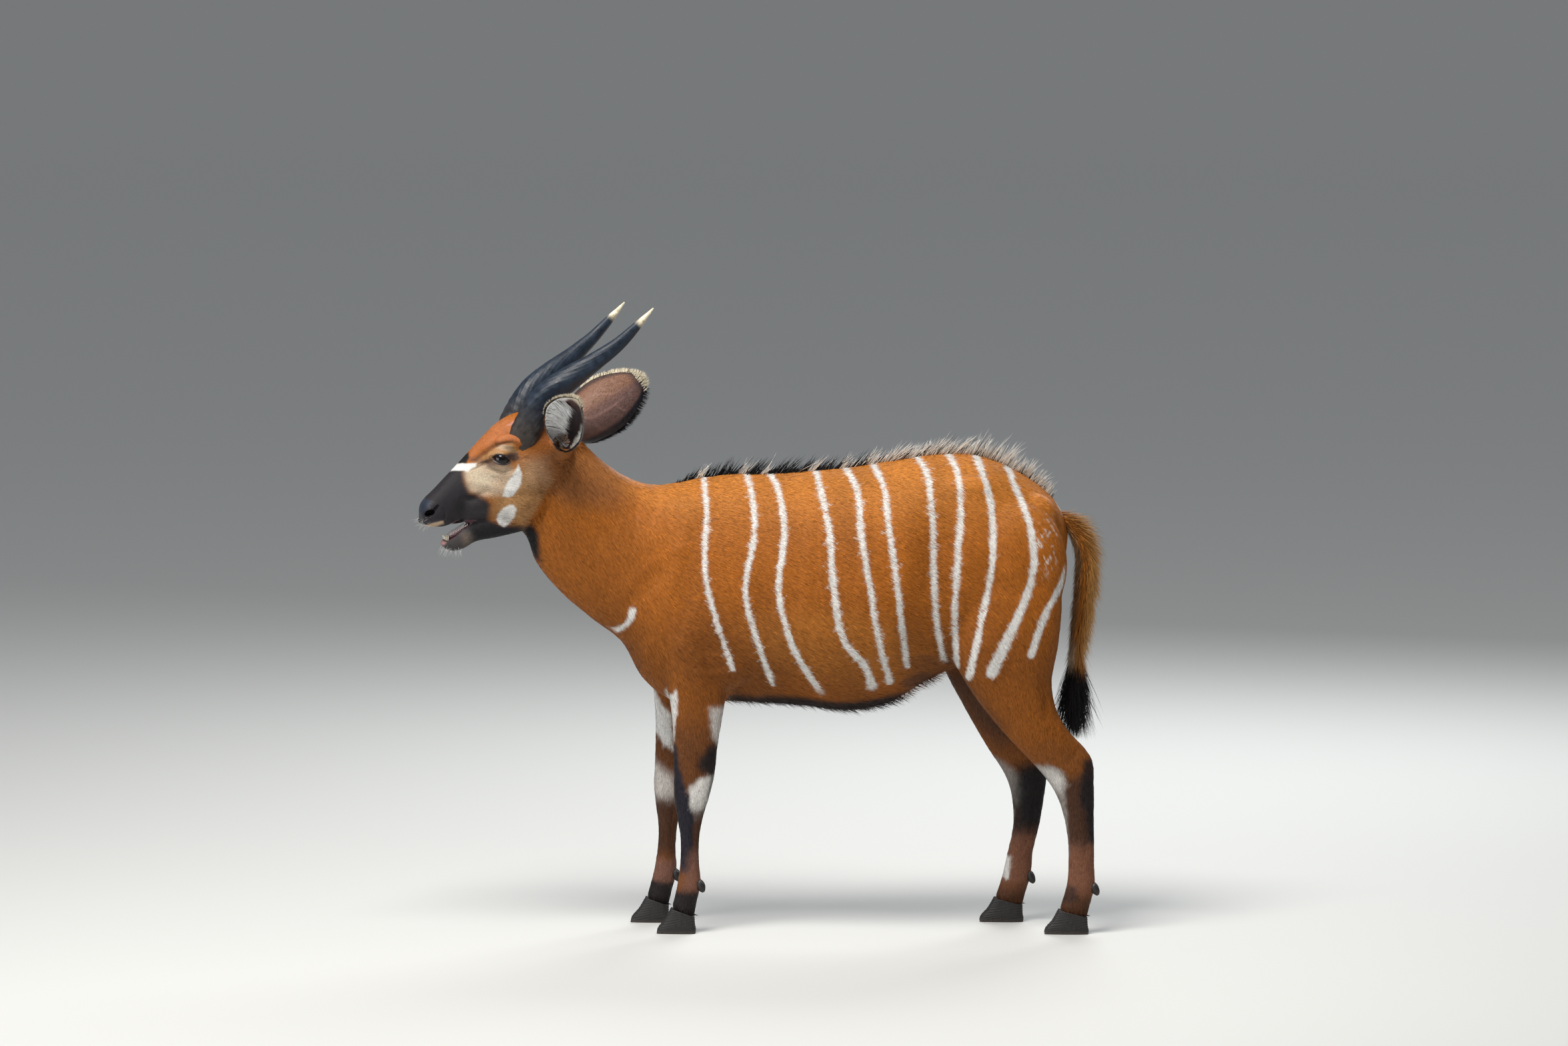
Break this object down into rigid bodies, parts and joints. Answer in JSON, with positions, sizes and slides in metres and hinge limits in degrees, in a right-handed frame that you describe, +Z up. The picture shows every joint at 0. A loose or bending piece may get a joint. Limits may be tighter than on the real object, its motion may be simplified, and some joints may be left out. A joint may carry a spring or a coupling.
{
  "type": "bongo antelope",
  "caption": "Life-size still model of a young bongo antelope, standing, with spiral horns, cupped ears, an upright crest and a tufted tail.",
  "frame": {"origin": "on the floor, in the middle of the animal's box", "axes": "+Z up; the body faces -X; its left flank faces -Y"},
  "size_m": [1.5782, 0.499, 1.4541],
  "materials": {
    "coat": "short glossy chestnut hair with white stripes",
    "face_coat": "short chestnut hair, dark muzzle and white patches",
    "leg_coat": "short brown hair with white and dark patches",
    "ear": "thin skin, short hair outside and white hair inside",
    "eye": "wet, near black",
    "horn": "ridged dark keratin with ivory tips",
    "hoof": "smooth dark keratin"
  },
  "bodies": {
    "root": {"head": "face_coat", "jaw": "face_coat", "neck": "coat", "torso": "coat", "tail": "coat", "left_foreleg": "leg_coat", "right_foreleg": "leg_coat", "left_hindleg": "leg_coat", "right_hindleg": "leg_coat", "left_ear": "ear", "right_ear": "ear", "left_eye": "eye", "right_eye": "eye", "left_horn": "horn", "right_horn": "horn", "left_fore_left_claw": "hoof", "left_fore_right_claw": "hoof", "right_fore_left_claw": "hoof", "right_fore_right_claw": "hoof", "left_hind_left_claw": "hoof", "left_hind_right_claw": "hoof", "right_hind_left_claw": "hoof", "right_hind_right_claw": "hoof", "left_fore_left_dewclaw": "hoof", "left_fore_right_dewclaw": "hoof", "right_fore_left_dewclaw": "hoof", "right_fore_right_dewclaw": "hoof", "left_hind_left_dewclaw": "hoof", "left_hind_right_dewclaw": "hoof", "right_hind_left_dewclaw": "hoof", "right_hind_right_dewclaw": "hoof"}
  },
  "joints": []
}
